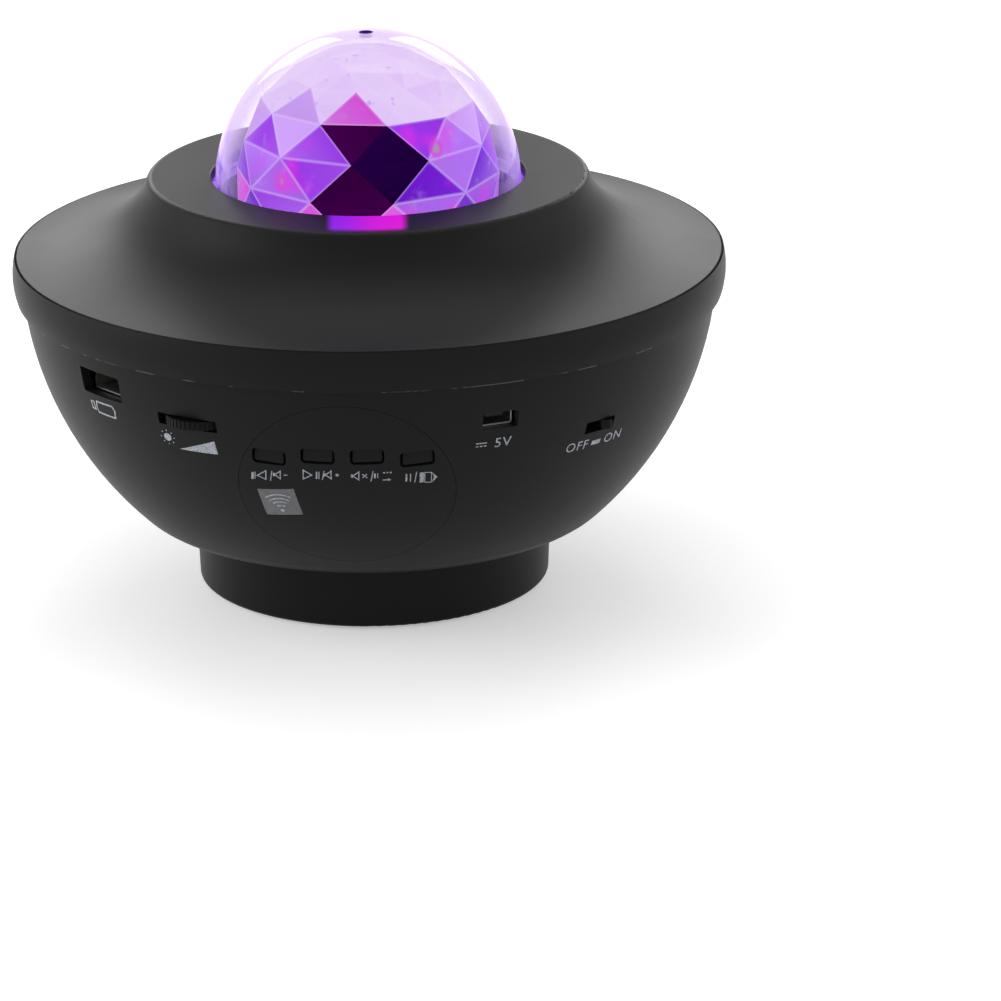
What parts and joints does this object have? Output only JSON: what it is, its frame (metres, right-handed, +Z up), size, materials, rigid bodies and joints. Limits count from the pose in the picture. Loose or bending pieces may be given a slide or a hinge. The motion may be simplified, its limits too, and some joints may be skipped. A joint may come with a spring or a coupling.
{
  "type": "star night light projector",
  "caption": "Round bowl-shaped star projector night light with a flared top casing, faceted crystal dome, motor-driven ripple lens, laser, speaker and front controls.",
  "frame": {"origin": "centre of the plane that the rubber feet stand on", "axes": "+Z up along the dome's axis, -Y towards the buttons and sockets, +X to the right seen from the front"},
  "size_m": [0.168, 0.168, 0.1329],
  "materials": {
    "casing": "satin moulded black",
    "black_plastic": "satin black",
    "rubber": "matt grey-black",
    "screw_steel": "zinc plated",
    "crystal": "clear, polished",
    "laser_glass": "clear",
    "ir_filter": "dark translucent, fine grain",
    "socket_steel": "folded tin-plated sheet",
    "contacts": "gold plated",
    "motor_steel": "pressed steel",
    "gear_plastic": "natural white",
    "circuit_board": "green solder mask",
    "led_board": "white solder mask",
    "led": "phosphor",
    "aluminium": "extruded",
    "brass": "turned",
    "cone_paper": "pressed paper",
    "foam": "soft foam",
    "lead": "PVC insulation"
  },
  "bodies": {
    "casing": {"top_shell": "casing", "bowl_shell": "casing", "control_panel": "casing", "base_cover": "black_plastic", "dome_retainer": "black_plastic", "lens_deck": "black_plastic", "button_switches": "black_plastic", "switch_body": "black_plastic", "dimmer_body": "black_plastic", "usb_a_tongue": "black_plastic", "mini_usb_tongue": "black_plastic", "board_chips": "black_plastic", "ir_receiver": "black_plastic", "rubber_feet": "rubber", "base_screws": "screw_steel", "dome_screws": "screw_steel", "deck_screws": "screw_steel", "motor_screws": "screw_steel", "led_screws": "screw_steel", "board_screws": "screw_steel", "speaker_screws": "screw_steel", "crystal_dome": "crystal", "laser_lens": "laser_glass", "ir_window": "ir_filter", "usb_a_shell": "socket_steel", "mini_usb_shell": "socket_steel", "usb_a_contacts": "contacts", "lens_motor": "motor_steel", "speaker_frame": "motor_steel", "speaker_magnet": "motor_steel", "lead_plugs": "gear_plastic", "usb_a_stand": "gear_plastic", "main_board": "circuit_board", "button_board": "circuit_board", "led_board": "led_board", "led_emitters": "led", "heat_sink": "aluminium", "capacitors": "aluminium", "microphone": "aluminium", "laser_barrel": "brass", "speaker_surround": "foam", "speaker_lead": "lead", "motor_lead": "lead", "light_leads": "lead", "button_lead": "lead"},
    "rotor": {"ripple_lens": "crystal", "grating_disc": "laser_glass"},
    "pinion": {"motor_pinion": "gear_plastic", "motor_shaft": "motor_steel"},
    "dimmer_wheel": {"dimmer_wheel": "black_plastic"},
    "switch_knob": {"switch_knob": "black_plastic"},
    "speaker_cone": {"speaker_cone": "cone_paper"},
    "button_previous": {"button_previous": "black_plastic", "plunger_previous": "gear_plastic"},
    "button_next": {"button_next": "black_plastic", "plunger_next": "gear_plastic"},
    "button_mute": {"button_mute": "black_plastic", "plunger_mute": "gear_plastic"},
    "button_mode": {"button_mode": "black_plastic", "plunger_mode": "gear_plastic"}
  },
  "joints": [
    {"name": "rotor_spin", "type": "hinge", "parent": "casing", "child": "rotor", "pos_m": [0, 0, 0.0876], "axis": [0, 0, 1], "continuous": true},
    {"name": "pinion_spin", "type": "hinge", "parent": "casing", "child": "pinion", "pos_m": [0.0376, 0, 0.0876], "axis": [0, 0, 1], "continuous": true},
    {"name": "dimmer_turn", "type": "hinge", "parent": "casing", "child": "dimmer_wheel", "pos_m": [-0.03872, -0.06269, 0.0602], "axis": [0, 0, 1], "range_deg": [-140, 140]},
    {"name": "power_slide", "type": "slide", "parent": "casing", "child": "switch_knob", "axis": [-0.749, -0.6626, 0], "range_m": [0, 0.0045]},
    {"name": "speaker_cone_slide", "type": "slide", "parent": "casing", "child": "speaker_cone", "axis": [0, 0, 1], "range_m": [-0.0005, 0.0005], "stiffness_N_per_m": 800},
    {"name": "button_previous_press", "type": "slide", "parent": "casing", "child": "button_previous", "axis": [0.084, 0.9484, 0.3057], "range_m": [0, 0.0005], "stiffness_N_per_m": 300},
    {"name": "button_next_press", "type": "slide", "parent": "casing", "child": "button_next", "axis": [0.084, 0.9484, 0.3057], "range_m": [0, 0.0005], "stiffness_N_per_m": 300},
    {"name": "button_mute_press", "type": "slide", "parent": "casing", "child": "button_mute", "axis": [0.084, 0.9484, 0.3057], "range_m": [0, 0.0005], "stiffness_N_per_m": 300},
    {"name": "button_mode_press", "type": "slide", "parent": "casing", "child": "button_mode", "axis": [0.084, 0.9484, 0.3057], "range_m": [0, 0.0005], "stiffness_N_per_m": 300}
  ],
  "couplings": [
    {"joint": "pinion_spin", "follows": "rotor_spin", "ratio": -5.7143}
  ]
}
